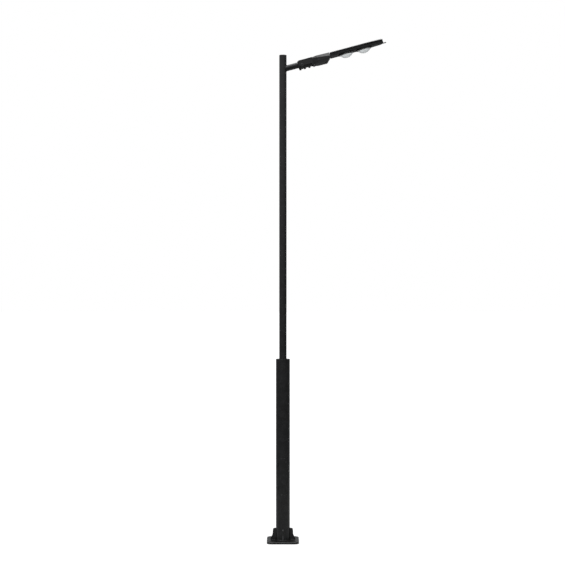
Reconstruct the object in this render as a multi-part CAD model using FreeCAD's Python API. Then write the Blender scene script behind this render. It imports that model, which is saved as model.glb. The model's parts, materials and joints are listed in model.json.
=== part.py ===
import FreeCAD, Part
import math
import os

V = FreeCAD.Vector

# Column street light with a tilted two-lens LED head. Millimetres, +Z up.
# Origin: centre of the base plate's underside. +X: the way the arm points. -Y: the access door.

# ---------------------------------------------------------------------------
# Clearances
# ---------------------------------------------------------------------------
weld_gap = 0.1        # between curved faces of pieces welded or clamped together
turning_gap = 0.05    # radial clearance of a turning pin or spindle
parting_gap = 0.3     # between faces of pieces that move past each other
screw_gap = 0.1       # radial clearance of a fixed screw in its hole

# ---------------------------------------------------------------------------
# Base and column
# ---------------------------------------------------------------------------
plate_side = 262.0
plate_thick = 16.0
plate_corner = 38.0
plate_edge_break = 1.5
anchor_pitch = 200.0
anchor_hole_r = 11.0
cable_hole_r = 40.0

gusset_count = 4
gusset_thick = 9.0
gusset_height = 94.0
gusset_top_reach = 24.5
gusset_waist_reach = 28.0
gusset_waist_height = 42.0
gusset_knee_reach = 36.0
gusset_knee_height = 26.0
gusset_foot_reach = 45.0
gusset_foot_height = 8.0
gusset_top_r = 14.0

lower_od = 114.3
lower_wall = 4.0
shoulder_height = 1500.0
upper_od = 60.3
upper_wall = 3.2
column_height = 4000.0
shoulder_thick = 8.0
shoulder_edge_r = 1.5
register_depth = 12.0
register_wall = 5.0
upper_overlap = 280.0
centring_thick = 10.0
cap_thick = 8.0
cap_plug_depth = 22.0
cap_plug_wall = 3.0
cap_edge_r = 3.0

# ---------------------------------------------------------------------------
# Access door
# ---------------------------------------------------------------------------
door_bottom = 390.0
door_height = 300.0
door_width = 82.0
door_corner = 9.0
door_gap = 1.2
frame_depth = 3.2
frame_lip = 5.5
frame_rim = 5.5
gasket_thick = 1.3
gasket_squeeze_gap = 0.6
gasket_width = 4.0

hinge_count = 2
hinge_inset = 55.0
hinge_knuckle_r = 3.4
hinge_pin_r = 1.7
hinge_knuckle_length = 14.0
hinge_leaf_reach = 13.0
hinge_leaf_thick = 1.6
hinge_lift = 0.3

lock_from_top = 30.0
lock_angle = 26.0
lock_body_r = 9.0
lock_core_r = 6.0
lock_proud = 1.4
lock_recess = 0.6
lock_key_r = 3.6
lock_key_depth = 4.0
cam_thick = 2.3
cam_reach = 21.0
cam_width = 11.0

# ---------------------------------------------------------------------------
# Equipment inside the column
# ---------------------------------------------------------------------------
board_front = 2.0
board_thick = 8.0
board_width = 76.0
board_bottom = 400.0
board_height = 272.0
spacer_r = 6.0
spacer_inset = 22.0
board_screw_r = 2.5
board_screw_head_r = 4.8
board_screw_head = 3.0

cutout_width = 58.0
cutout_depth = 26.0
cutout_bottom = 452.0
cutout_height = 138.0
cutout_corner = 4.0
breaker_width = 18.0
breaker_height = 84.0
breaker_depth = 16.0
breaker_set_in = 10.0
breaker_corner = 1.5
lever_drum_r = 6.0
lever_width = 8.0
lever_reach = 12.5
lever_thick = 3.4
lever_lean = 25.0
gland_r = 9.0
gland_length = 14.0
gland_offset = 14.0
earth_stud_r = 4.0
earth_stud_length = 22.0
earth_nut_across = 13.0
earth_nut_thick = 6.5
earth_height = 360.0

cable_r = 4.5
cable_bend_r = 60.0
cable_offset = 12.0
connector_r = 11.0
connector_length = 26.0
connector_grip = 15.0

# ---------------------------------------------------------------------------
# Arm and spigot sleeve. Along the arm u is measured from the column's axis, v upwards from the
# arm's axis and w across, and the whole head tilts with the arm.
# ---------------------------------------------------------------------------
arm_height = 3883.5
arm_tilt = 15.0
arm_od = 48.3
arm_wall = 2.9
arm_cable_hole_r = 16.0
sleeve_start = 130.0
sleeve_length = 110.0
sleeve_side_wall = 9.85
sleeve_top_wall = 4.85
sleeve_floor_wall = 9.85
sleeve_corner = 13.0
arm_seat_back = 3.0
clamp_bolt_r = 4.9
clamp_head_across = 16.0
clamp_head_height = 11.0
clamp_first = 9.5
clamp_pitch = 38.0
clamp_count = 3

pivot_from_start = 30.0
pivot_drop = 15.0
pivot_thread_r = 6.0
pivot_thread_depth = 8.5
pivot_shoulder_r = 9.0
pivot_washer_r = 14.0
pivot_washer_thick = 2.0
pivot_head_r = 11.5
pivot_head_thick = 6.0
pivot_socket_across = 10.0
pivot_socket_depth = 4.0

# ---------------------------------------------------------------------------
# Driver housing and its cover
# ---------------------------------------------------------------------------
cheek_gap = 0.6
cheek_thick = 9.4
cheek_above = 30.0
cheek_below = 18.0
cheek_start_back = 4.0
cheek_corner = 9.0
cheek_root = 14.0
boss_r = 18.5
boss_proud = 2.6

housing_from_pivot = 90.5
housing_length = 149.5
housing_flare = 41.5
rear_side_margin = 1.5
rear_crown = 38.0
rear_floor = -33.2
rear_shoulder = 20.0
rear_roof = 28.5
mid_half_width = 63.0
mid_crown = 50.0
mid_floor = -38.5
mid_shoulder = 13.0
mid_roof = 31.0
front_half_width = 73.0
front_crown = 46.0
front_floor = -38.5
front_shoulder = -1.0
front_roof = 29.0
housing_wall = 3.2
front_wall = 6.0
slant_length = 31.0
slant_top = -10.0
slant_wall = 4.0
split_height = -18.0
cover_gasket_thick = 1.7
cover_gasket_edge = 0.8
cover_rear = 10.8
cover_floor_thick = 3.0
foot_gap = 0.5
ledge_thick = 3.0

cover_axis_in = 6.5
cover_axis_drop = 4.3
cover_knuckle_r = 4.0
cover_pin_r = 2.0
cover_knuckle_length = 12.0
cover_hinge_offset = 28.0

latch_from_front = 38.0
latch_spindle_r = 5.5
latch_knob_r = 12.0
latch_knob_thick = 6.0
latch_grip_width = 5.0
latch_grip_height = 3.5
latch_bar_low = -21.7
latch_bar_thick = 2.7
latch_bar_reach = 10.8
latch_bar_width = 7.0
keeper_inset = 7.0
keeper_reach = 6.9
keeper_thick = 2.2
keeper_width = 16.0
keeper_top = -5.0

driver_length = 96.0
driver_width = 52.0
driver_height = 29.0
driver_top = 16.0
driver_side = -20.0
driver_from_rear = 19.0
driver_ear = 9.0
driver_ear_thick = 3.0
driver_screw_r = 2.0
driver_screw_head_r = 3.8
driver_screw_head = 2.4
post_r = 4.0
terminal_length = 44.0
terminal_width = 26.0
terminal_height = 20.0
terminal_ways = 5
terminal_hole_r = 1.8
terminal_top = 10.0
terminal_side = 30.0
terminal_from_rear = 26.0
surge_length = 34.0
surge_width = 26.0
surge_height = 24.0
surge_top = 10.0
surge_from_rear = 82.0
head_gland_r = 8.0
head_gland_across = 19.0
head_gland_length = 12.0
vent_r = 6.0
vent_proud = 2.5
vent_from_rear = 51.5
vent_height = -8.0
vent_lift = 0.6

# ---------------------------------------------------------------------------
# Heat sink, lens frame and optics
# ---------------------------------------------------------------------------
sink_flange = 6.0
sink_length = 446.0
sink_margin = 8.0
sink_tip_half_width = 46.0
sink_taper = 156.0
sink_tip_corner = 24.0
sink_floor = -3.0
sink_base_thick = 6.0
sink_top = 26.0
fin_thick = 3.0
fin_pitch = 9.0
fin_chamfer = 11.0
fin_slope = 8.0
rib_half_width = 3.0
rib_top = 15.0
rail_inset = 14.0
rail_thick = 4.0
rail_top = 24.0
flange_half_width = 38.0
flange_top = 17.5
sink_screw_r = 2.9
sink_screw_head_r = 5.0
sink_screw_head = 4.0
sink_screw_depth = 12.0
sink_screw_side = 28.0
sink_screw_low = 2.0
sink_screw_high = 12.6

lens_first = 132.0
lens_spacing = 15.5
lens_count = 2
frame_thick_v = 4.0
frame_inset = 7.0
frame_start = 4.0
tab_half_width = 15.0
tab_length = 33.0
tab_thick = 3.0
frame_screw_r = 2.0
frame_screw_head_r = 3.8
frame_screw_head = 2.2
frame_screw_depth = 5.0
frame_screw_edge = 10.0

lens_r = 56.5
lens_opening_lap = 2.5
lens_flange_reach = 4.5
lens_flange_thick = 3.0
lens_glass = 3.0
lens_depth = 33.0
lens_gasket_thick = 1.4
bezel_width = 6.0
bezel_lip_thick = 2.4
bezel_screws = 6
bezel_screw_r = 1.5
bezel_screw_head_r = 2.8
bezel_screw_head = 1.6
led_side = 44.0
led_thick = 1.8
led_dome_r = 14.0
led_dome_thick = 1.2
reflector_throat_r = 17.0
reflector_mouth_r = 41.0
reflector_depth = 13.0
reflector_wall = 1.4

# ---------------------------------------------------------------------------
# Sizes that follow from the ones above
# ---------------------------------------------------------------------------
lower_r = lower_od / 2
lower_bore = lower_r - lower_wall
upper_r = upper_od / 2
upper_bore = upper_r - upper_wall
upper_foot = shoulder_height - upper_overlap
arm_r = arm_od / 2
arm_bore = arm_r - arm_wall
sleeve_half_width = arm_r + sleeve_side_wall
sleeve_above = arm_r + sleeve_top_wall
sleeve_below = arm_r + sleeve_floor_wall
door_top = door_bottom + door_height
hinge_ring = lower_r + hinge_lift + hinge_knuckle_r
hinge_angle = math.asin(door_width / 2 / lower_r)
hinge_x = -hinge_ring * math.sin(hinge_angle)
hinge_y = -hinge_ring * math.cos(hinge_angle)
lock_z = door_top - lock_from_top
cam_corner = math.hypot(cam_reach, cam_width / 2)
cam_face = math.sqrt((lower_bore - frame_depth) ** 2 - cam_corner ** 2) - parting_gap
breaker_front = board_front - cutout_depth - (breaker_depth - breaker_set_in)
lever_y = breaker_front + lever_drum_r / 2
lever_z = cutout_bottom + cutout_height / 2
cutout_side = board_front - cutout_depth / 2
sleeve_end = sleeve_start + sleeve_length
arm_end = sleeve_end - arm_seat_back
pivot_u = sleeve_start + pivot_from_start
cheek_inner = sleeve_half_width + cheek_gap
cheek_outer = cheek_inner + cheek_thick
boss_face = cheek_outer + boss_proud
rear_half_width = cheek_outer + rear_side_margin
housing_rear = pivot_u + housing_from_pivot
housing_front = housing_rear + housing_length
cover_start = housing_rear + cover_rear
cover_rim = split_height - cover_gasket_thick - parting_gap
cover_axis_u = housing_rear + cover_axis_in
cover_axis_v = rear_floor - cover_axis_drop
latch_u = housing_front - latch_from_front
lens_opening_r = lens_r - lens_opening_lap
lens_flange_r = lens_r + lens_flange_reach
bezel_r = lens_flange_r + bezel_width
lens_pitch = 2 * bezel_r + lens_spacing
sink_half_width = bezel_r + sink_margin
sink_start = housing_front + sink_flange
sink_end = sink_start + sink_length
sink_under_fins = sink_floor + sink_base_thick
frame_floor = sink_floor - frame_thick_v
gasket_floor = frame_floor - lens_gasket_thick
lens_flange_floor = gasket_floor - lens_flange_thick
bezel_floor = lens_flange_floor - bezel_lip_thick - parting_gap / 2
lens_centres = [sink_start + lens_first + lens_pitch * i for i in range(lens_count)]


# ---------------------------------------------------------------------------
# Shapes
# ---------------------------------------------------------------------------
def block(x, y, z, corner=0, along=None):
    """Box between the (low, high) pairs x, y and z, its edges along one axis rounded."""
    shape = Part.makeBox(x[1] - x[0], y[1] - y[0], z[1] - z[0], V(x[0], y[0], z[0]))
    if corner:
        edges = [e for e in shape.Edges if abs(e.tangentAt(e.FirstParameter).dot(along)) > 0.9]
        shape = shape.makeFillet(corner, edges)
    return shape


def rod(r, start, end):
    """Round bar from start to end."""
    return Part.makeCylinder(r, (end - start).Length, start, end - start)


def ring(r_out, r_in, start, end):
    """Round tube from start to end."""
    return rod(r_out, start, end).cut(rod(r_in, start, end))


def hexagon(across, start, end):
    """Hexagonal bar from start to end, by its size across the flats."""
    axis = (end - start).normalize()
    side = V(0, 0, 1) if abs(axis.z) < 0.5 else V(1, 0, 0)
    side = side.cross(axis).normalize()
    other = axis.cross(side)
    r = across / math.sqrt(3)
    angles = [math.radians(60 * i) for i in range(6)]
    points = [start + side * (r * math.cos(a)) + other * (r * math.sin(a)) for a in angles]
    return Part.Face(Part.makePolygon(points + points[:1])).extrude(axis * (end - start).Length)


def outline(points, sweep):
    """Flat outline through the points, extruded along sweep."""
    return Part.Face(Part.makePolygon(points + points[:1])).extrude(sweep)


def union(shapes):
    """One shape made of all the shapes."""
    shapes = list(shapes)
    return shapes[0].multiFuse(shapes[1:]).removeSplitter()


def both_sides(shape):
    """The shape and its mirror image across the arm's upright plane."""
    return [shape, shape.mirror(V(0, 0, 0), V(0, 1, 0))]


def at_head(shape):
    """Move a shape from the head's u, w, v frame to its place on the column."""
    placed = shape.copy()
    placed.rotate(V(0, 0, 0), V(0, 1, 0), -arm_tilt)
    placed.translate(V(0, 0, arm_height))
    return placed


def save(name, *shapes):
    """Write the solids of one sub-part."""
    solids = [solid for shape in shapes for solid in shape.Solids]
    if not solids or not all(solid.isValid() for solid in solids):
        raise ValueError(name + " has no valid solid")
    Part.makeCompound(solids).exportStep("parts/" + name + ".step")
    print(name, len(solids), round(sum(solid.Volume for solid in solids)))


def save_head(name, *shapes):
    """Write the solids of a sub-part modelled in the head's frame."""
    save(name, *[at_head(shape) for shape in shapes])


# ---------------------------------------------------------------------------
# Base and column
# ---------------------------------------------------------------------------
def base_plate():
    half = plate_side / 2
    plate = block((-half, half), (-half, half), (0, plate_thick), plate_corner, V(0, 0, 1))
    top_edges = [e for e in plate.Edges if e.BoundBox.ZMin > plate_thick - weld_gap]
    plate = plate.makeChamfer(plate_edge_break, top_edges)
    plate = plate.cut(rod(cable_hole_r, V(0, 0, 0), V(0, 0, plate_thick)))
    for x in (-anchor_pitch / 2, anchor_pitch / 2):
        for y in (-anchor_pitch / 2, anchor_pitch / 2):
            plate = plate.cut(rod(anchor_hole_r, V(x, y, 0), V(x, y, plate_thick)))
    return plate


def gusset():
    """Stiffening fin on +X, from the plate up the lower tube."""
    foot = plate_thick
    profile = [
        (lower_r - gusset_thick, foot),
        (lower_r + gusset_foot_reach, foot),
        (lower_r + gusset_foot_reach, foot + gusset_foot_height),
        (lower_r + gusset_knee_reach, foot + gusset_knee_height),
        (lower_r + gusset_waist_reach, foot + gusset_waist_height),
        (lower_r + gusset_top_reach, foot + gusset_height),
        (lower_r - gusset_thick, foot + gusset_height),
    ]
    half = gusset_thick / 2
    fin = outline([V(r, -half, z) for r, z in profile], V(0, gusset_thick, 0))
    box = fin.BoundBox
    top_corner = [
        e for e in fin.Edges
        if e.BoundBox.YLength > half and e.BoundBox.ZMin > box.ZMax - half and e.BoundBox.XMin > lower_r
    ]
    fin = fin.makeFillet(gusset_top_r, top_corner)
    return fin.cut(rod(lower_r, V(0, 0, 0), V(0, 0, shoulder_height)))


def gussets():
    step = 360 / gusset_count
    fins = []
    for i in range(gusset_count):
        fin = gusset()
        fin.rotate(V(0, 0, 0), V(0, 0, 1), step * i)
        fins.append(fin)
    return fins


def door_prism(grow, corner):
    """Upright prism through the tube's front, as large as the door opening grown on every side."""
    half = door_width / 2 + grow
    return block(
        (-half, half), (-2 * lower_r, -lower_r / 4),
        (door_bottom - grow, door_top + grow), corner, V(0, 1, 0),
    )


def lower_tube():
    top = shoulder_height - shoulder_thick
    tube = ring(lower_r, lower_bore, V(0, 0, plate_thick), V(0, 0, top))
    return tube.cut(door_prism(0, door_corner))


def shoulder_ring():
    """Flat shoulder on the lower tube, with a register inside it."""
    low = shoulder_height - shoulder_thick
    deck = rod(lower_r, V(0, 0, low), V(0, 0, shoulder_height))
    rim = [e for e in deck.Edges if e.BoundBox.ZMin > shoulder_height - weld_gap]
    deck = deck.makeFillet(shoulder_edge_r, rim)
    register_r = lower_bore - weld_gap
    register = ring(register_r, register_r - register_wall, V(0, 0, low - register_depth), V(0, 0, low))
    bore = rod(upper_r + weld_gap, V(0, 0, low - register_depth), V(0, 0, shoulder_height))
    return union([deck, register]).cut(bore)


def centring_ring():
    low = V(0, 0, upper_foot)
    return ring(lower_bore - weld_gap, upper_r + weld_gap, low, low + V(0, 0, centring_thick))


def upper_tube():
    tube = ring(upper_r, upper_bore, V(0, 0, upper_foot), V(0, 0, column_height - cap_thick))
    return tube.cut(at_head(rod(arm_cable_hole_r, V(0, 0, 0), V(upper_od, 0, 0))))


def pole_cap():
    low = column_height - cap_thick
    lid = rod(upper_r, V(0, 0, low), V(0, 0, column_height))
    rim = [e for e in lid.Edges if e.BoundBox.ZMin > column_height - weld_gap]
    lid = lid.makeFillet(cap_edge_r, rim)
    plug_r = upper_bore - weld_gap
    plug = ring(plug_r, plug_r - cap_plug_wall, V(0, 0, low - cap_plug_depth), V(0, 0, low))
    return union([lid, plug])


def arm_tube():
    tube = at_head(ring(arm_r, arm_bore, V(0, 0, 0), V(arm_end, 0, 0)))
    return tube.cut(rod(upper_r + weld_gap, V(0, 0, 0), V(0, 0, column_height)))


# ---------------------------------------------------------------------------
# Access door
# ---------------------------------------------------------------------------
def door_shell(r_out, r_in, grow, corner):
    """Piece of a round wall as large as the door opening grown on every side."""
    low = V(0, 0, door_bottom - 4 * door_corner)
    high = V(0, 0, door_top + 4 * door_corner)
    return ring(r_out, r_in, low, high).common(door_prism(grow, corner))


def door_frame():
    """Strip welded inside the opening: a rim behind the tube's wall and a lip that takes the gasket."""
    inner = lower_bore - frame_depth
    body = door_shell(lower_bore - weld_gap, inner, frame_rim, door_corner + frame_rim)
    window = door_prism(-frame_lip, door_corner / 2)
    lip_top = lower_bore - gasket_squeeze_gap - gasket_thick
    seat = door_shell(lower_r, lip_top, weld_gap, door_corner + weld_gap)
    return body.cut(window).cut(seat)


def door_gasket():
    lip_top = lower_bore - gasket_squeeze_gap - gasket_thick
    edge = frame_lip - gasket_width - weld_gap
    strip = door_shell(lip_top + gasket_thick, lip_top + weld_gap, -edge, door_corner)
    return strip.cut(door_prism(-edge - gasket_width, door_corner / 2))


def lock_point(depth, side, z):
    """Point at a distance from the column's axis along the lock's axis, and to its side."""
    a = math.radians(lock_angle)
    return V(depth * math.sin(a) + side * math.cos(a), -depth * math.cos(a) + side * math.sin(a), z)


def access_door():
    panel = door_shell(lower_r, lower_bore, -door_gap, door_corner - door_gap)
    hole_r = lock_body_r + screw_gap
    return panel.cut(rod(hole_r, lock_point(lower_r / 2, 0, lock_z), lock_point(lower_od, 0, lock_z)))


def hinge_heights():
    """Height of each door hinge's middle."""
    low = door_bottom + hinge_inset
    high = door_top - hinge_inset
    return [low + (high - low) * i / (hinge_count - 1) for i in range(hinge_count)]


def hinge_leaf(side, z_mid):
    """Leaf and knuckle of one hinge: side -1 is fixed to the tube, side 1 to the door."""
    axis = V(hinge_x, hinge_y, 0)
    low = z_mid - hinge_knuckle_length - parting_gap / 2
    if side > 0:
        low = z_mid + parting_gap / 2
    high = low + hinge_knuckle_length
    leaf_r = lower_r + hinge_leaf_thick
    reach = math.degrees(hinge_leaf_reach / lower_r)
    leaf = Part.makeCylinder(leaf_r, high - low, V(0, 0, low), V(0, 0, 1), reach)
    leaf = leaf.cut(rod(lower_r + weld_gap, V(0, 0, low), V(0, 0, high)))
    start = -90 - math.degrees(hinge_angle)
    leaf.rotate(V(0, 0, 0), V(0, 0, 1), start if side > 0 else start - reach)
    knuckle = rod(hinge_knuckle_r, axis + V(0, 0, low), axis + V(0, 0, high))
    bore = rod(hinge_pin_r + turning_gap, axis + V(0, 0, low), axis + V(0, 0, high))
    return union([leaf, knuckle]).cut(bore)


def hinge_pin(z_mid):
    reach = hinge_knuckle_length + parting_gap
    return rod(hinge_pin_r, V(hinge_x, hinge_y, z_mid - reach), V(hinge_x, hinge_y, z_mid + reach))


def lock_body():
    """Flanged bush of the lock, fixed in the door."""
    low = cam_face + 2 * parting_gap
    high = lower_r + lock_proud
    return ring(
        lock_body_r, lock_core_r + turning_gap, lock_point(low, 0, lock_z), lock_point(high, 0, lock_z)
    )


def lock_cam():
    """Turning core with a triangular key socket, and the cam that swings behind the frame's lip."""
    outer = lower_r + lock_proud - lock_recess
    core = rod(lock_core_r, lock_point(cam_face - cam_thick, 0, lock_z), lock_point(outer, 0, lock_z))
    key = [
        lock_point(outer - lock_key_depth, lock_key_r * math.sin(a), lock_z + lock_key_r * math.cos(a))
        for a in (0, 2 * math.pi / 3, 4 * math.pi / 3)
    ]
    out = lock_point(1, 0, 0)
    socket = outline(key, out * (2 * lock_key_depth))
    half = cam_width / 2
    corners = [(-half, half), (half, half), (half, -cam_reach), (-half, -cam_reach)]
    bar = outline([lock_point(cam_face - cam_thick, s, lock_z + z) for s, z in corners], out * cam_thick)
    return union([core, bar]).cut(socket)


# ---------------------------------------------------------------------------
# Equipment inside the column
# ---------------------------------------------------------------------------
def board_screw_heights():
    return (board_bottom + spacer_inset, board_bottom + board_height - spacer_inset)


def backboard():
    half = board_width / 2
    back = board_front + board_thick
    board = block((-half, half), (board_front, back), (board_bottom, board_bottom + board_height))
    for z in board_screw_heights():
        board = board.cut(rod(board_screw_r + screw_gap, V(0, board_front, z), V(0, back, z)))
    return board


def board_spacers():
    """Stand-off bosses welded to the back of the tube."""
    back = board_front + board_thick
    spacers = []
    for z in board_screw_heights():
        boss = rod(spacer_r, V(0, back, z), V(0, lower_r, z))
        boss = boss.common(rod(lower_bore - 2 * weld_gap, V(0, 0, z - spacer_r), V(0, 0, z + spacer_r)))
        spacers.append(boss.cut(rod(board_screw_r + screw_gap, V(0, back, z), V(0, back + board_thick, z))))
    return spacers


def board_screws():
    screws = []
    end = board_front + 2 * board_thick - parting_gap
    for z in board_screw_heights():
        head = rod(board_screw_head_r, V(0, board_front - board_screw_head, z), V(0, board_front, z))
        screws.append(union([head, rod(board_screw_r, V(0, board_front - board_screw_head, z), V(0, end, z))]))
    return screws


def cutout_box():
    """Moulded box on the board that joins the supply to the head's cable."""
    half = cutout_width / 2
    front = board_front - cutout_depth
    top = cutout_bottom + cutout_height
    box = block((-half, half), (front, board_front), (cutout_bottom, top), cutout_corner, V(0, 0, 1))
    pocket_x = breaker_width / 2 + parting_gap
    pocket_z = breaker_height / 2 + parting_gap
    return box.cut(block(
        (-pocket_x, pocket_x), (front, front + breaker_set_in + parting_gap),
        (lever_z - pocket_z, lever_z + pocket_z),
    ))


def breaker():
    """Miniature circuit breaker set into the cut-out box."""
    x = breaker_width / 2
    z = breaker_height / 2
    back = breaker_front + breaker_depth
    body = block((-x, x), (breaker_front, back), (lever_z - z, lever_z + z), breaker_corner, V(1, 0, 0))
    slot_x = lever_width / 2 + parting_gap
    return body.cut(rod(lever_drum_r + parting_gap, V(-slot_x, lever_y, lever_z), V(slot_x, lever_y, lever_z)))


def breaker_lever():
    half = lever_width / 2
    drum = rod(lever_drum_r, V(-half, lever_y, lever_z), V(half, lever_y, lever_z))
    paddle = block(
        (-half, half), (lever_y - lever_reach, lever_y),
        (lever_z - lever_thick / 2, lever_z + lever_thick / 2), lever_thick / 3, V(1, 0, 0),
    )
    paddle.rotate(V(0, lever_y, lever_z), V(1, 0, 0), -lever_lean)
    return union([drum, paddle])


def cutout_glands():
    """Two glands below the box for the buried cables and one above it for the head's cable."""
    top = cutout_bottom + cutout_height
    places = [(gland_offset, top, 1), (-gland_offset, cutout_bottom, -1), (gland_offset, cutout_bottom, -1)]
    glands = []
    for x, z, way in places:
        start = V(x, cutout_side, z)
        end = V(x, cutout_side, z + way * gland_length)
        body = union([rod(gland_r, start, end), hexagon(2 * gland_r, start, (start + end) / 2)])
        glands.append(body.cut(rod(cable_r + screw_gap, start, end)))
    return glands


def earth_stud():
    """Stud welded inside the tube beside the opening's lower end, with its nut."""
    start = V(lower_bore - earth_stud_length, 0, earth_height)
    end = V(lower_bore + lower_wall / 2, 0, earth_height)
    stud = rod(earth_stud_r, start, end)
    stud = stud.common(rod(lower_bore - weld_gap, V(0, 0, 0), V(0, 0, shoulder_height)))
    nut_start = V(lower_bore - earth_stud_length / 2 - earth_nut_thick, 0, earth_height)
    nut_end = nut_start + V(earth_nut_thick, 0, 0)
    nut = hexagon(earth_nut_across, nut_start, nut_end)
    return stud, nut.cut(rod(earth_stud_r + screw_gap, nut_start, nut_end))


def rounded_path(points, radii):
    """Straight runs through the points, joined by tangent arcs."""
    edges = []
    start = points[0]
    for i in range(1, len(points) - 1):
        back = (points[i - 1] - points[i]).normalize()
        ahead = (points[i + 1] - points[i]).normalize()
        turn = math.pi - back.getAngle(ahead)
        reach = radii[i - 1] * math.tan(turn / 2)
        first = points[i] + back * reach
        last = points[i] + ahead * reach
        inward = (back + ahead).normalize()
        centre = points[i] + inward * (radii[i - 1] / math.cos(turn / 2))
        middle = centre - inward * radii[i - 1]
        edges.append(Part.LineSegment(start, first).toShape())
        edges.append(Part.Arc(first, middle, last).toShape())
        start = last
    edges.append(Part.LineSegment(start, points[-1]).toShape())
    return Part.Wire(edges)


def supply_cable():
    """Cable from the cut-out box up the column, round into the arm and along it to the connector."""
    rise = cutout_bottom + cutout_height
    bottom = V(gland_offset, cutout_side, rise)
    leave = V(gland_offset, cutout_side, rise + (upper_foot - rise) / 3)
    enter = V(-cable_offset, 0, upper_foot - (upper_foot - rise) / 4)
    turn_u = -cable_offset / math.cos(math.radians(arm_tilt))
    bend = at_head(Part.Vertex(turn_u, 0, 0)).Point
    finish = at_head(Part.Vertex(arm_end - connector_length + connector_grip, 0, 0)).Point
    points = [bottom, leave, enter, bend, finish]
    radii = []
    for i in (1, 2):
        back = points[i - 1] - points[i]
        ahead = points[i + 1] - points[i]
        half_turn = (math.pi - back.getAngle(ahead)) / 2
        radii.append(0.45 * min(back.Length, ahead.Length) / math.tan(half_turn))
    radii.append(cable_bend_r)
    path = rounded_path(points, radii)
    section = Part.Wire(Part.makeCircle(cable_r, bottom, V(0, 0, 1)))
    cable = path.makePipeShell([section], True, False)
    print("cable radii", [round(r) for r in radii], "length", round(path.Length))
    print("cable volume ratio", round(cable.Volume / (math.pi * cable_r ** 2 * path.Length), 4))
    return cable


def cable_connector():
    """Socket on the end of the cable, inside the arm's mouth."""
    start = V(arm_end - connector_length, 0, 0)
    end = V(arm_end, 0, 0)
    seat = rod(cable_r + screw_gap, start, start + V(connector_grip, 0, 0))
    return rod(connector_r, start, end).cut(seat)


# ---------------------------------------------------------------------------
# Spigot sleeve and pivot
# ---------------------------------------------------------------------------
def clamp_places():
    return [sleeve_start + clamp_first + clamp_pitch * i for i in range(clamp_count)]


def spigot_sleeve():
    """Sleeve clamped on the arm by three bolts from below; the head pivots on its sides."""
    half = sleeve_half_width
    body = block(
        (sleeve_start, sleeve_end), (-half, half), (-sleeve_below, sleeve_above),
        sleeve_corner, V(1, 0, 0),
    )
    body = body.cut(rod(arm_r + weld_gap, V(sleeve_start, 0, 0), V(sleeve_end, 0, 0)))
    for u in clamp_places():
        body = body.cut(rod(clamp_bolt_r + screw_gap, V(u, 0, -sleeve_below), V(u, 0, -arm_bore)))
    for side in (-1, 1):
        face = V(pivot_u, side * half, -pivot_drop)
        depth = V(pivot_u, side * (half - pivot_thread_depth - parting_gap), -pivot_drop)
        body = body.cut(rod(pivot_thread_r + screw_gap, face, depth))
    return body


def clamp_bolts():
    bolts = []
    for u in clamp_places():
        head_low = V(u, 0, -sleeve_below - clamp_head_height)
        head_top = V(u, 0, -sleeve_below)
        tip = V(u, 0, -arm_r - parting_gap)
        bolts.append(union([hexagon(clamp_head_across, head_low, head_top), rod(clamp_bolt_r, head_low, tip)]))
    return bolts


def pivot_bolt():
    """Shoulder bolt on the +w side: threaded in the sleeve, its shoulder carries the cheek."""
    face = sleeve_half_width
    head = boss_face + parting_gap + pivot_washer_thick
    tip = V(pivot_u, face - pivot_thread_depth, -pivot_drop)
    seat = V(pivot_u, face, -pivot_drop)
    neck = V(pivot_u, head, -pivot_drop)
    top = V(pivot_u, head + pivot_head_thick, -pivot_drop)
    socket = V(pivot_u, head + pivot_head_thick - pivot_socket_depth, -pivot_drop)
    cap = rod(pivot_head_r, neck, top)
    rim = [e for e in cap.Edges if e.BoundBox.YMin > top.y - weld_gap]
    cap = cap.makeFillet(pivot_head_thick / 4, rim)
    bolt = union([rod(pivot_thread_r, tip, seat), rod(pivot_shoulder_r, seat, neck), cap])
    return bolt.cut(hexagon(pivot_socket_across, socket, top))


def pivot_washer():
    start = V(pivot_u, boss_face + parting_gap, -pivot_drop)
    return ring(pivot_washer_r, pivot_shoulder_r + screw_gap, start, start + V(0, pivot_washer_thick, 0))


# ---------------------------------------------------------------------------
# Driver housing and its cover
# ---------------------------------------------------------------------------
def housing_section(u):
    """Half-width, crown half-width, floor, shoulder and roof of the housing at a place along it."""
    rear = (rear_half_width, rear_crown, rear_floor, rear_shoulder, rear_roof)
    middle = (mid_half_width, mid_crown, mid_floor, mid_shoulder, mid_roof)
    front = (front_half_width, front_crown, front_floor, front_shoulder, front_roof)
    knee = housing_rear + housing_flare
    if u <= knee:
        share = (u - housing_rear) / housing_flare
        return [a + (b - a) * share for a, b in zip(rear, middle)]
    share = (u - knee) / (housing_front - knee)
    return [a + (b - a) * share for a, b in zip(middle, front)]


def housing_body(inset, floor_inset, start, end):
    """Solid between two places along the housing, set in from its outside."""
    knee = housing_rear + housing_flare
    wires = []
    for u in [start] + [knee] * (start < knee < end) + [end]:
        half, crown, floor, shoulder, roof = housing_section(u)
        side = half - inset
        top = crown - inset / 2
        low = floor + floor_inset
        bend = shoulder - inset / 3
        high = roof - inset
        points = [V(u, -side, low), V(u, -side, bend), V(u, -top, high)]
        points += [V(u, top, high), V(u, side, bend), V(u, side, low)]
        wires.append(Part.makePolygon(points + points[:1]))
    return Part.makeLoft(wires, True, True)


def slant_wedge(inset):
    """What the slanted underside cuts from the housing's front, set in from its outside."""
    low = V(housing_front - slant_length, 0, front_floor)
    high = V(housing_front, 0, slant_top)
    along = (high - low).normalize()
    outward = V(along.z, 0, -along.x)
    reach = 2 * slant_length
    half = 2 * front_half_width
    low = low - along * reach - outward * inset - V(0, half, 0)
    high = high + along * reach - outward * inset - V(0, half, 0)
    return outline([low, high, high + outward * reach, low + outward * reach], V(0, 2 * half, 0))


def slice_between(u, v):
    """Box as wide as the housing, between two places along it and two heights."""
    half = 2 * front_half_width
    return block(u, (-half, half), v)


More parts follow.
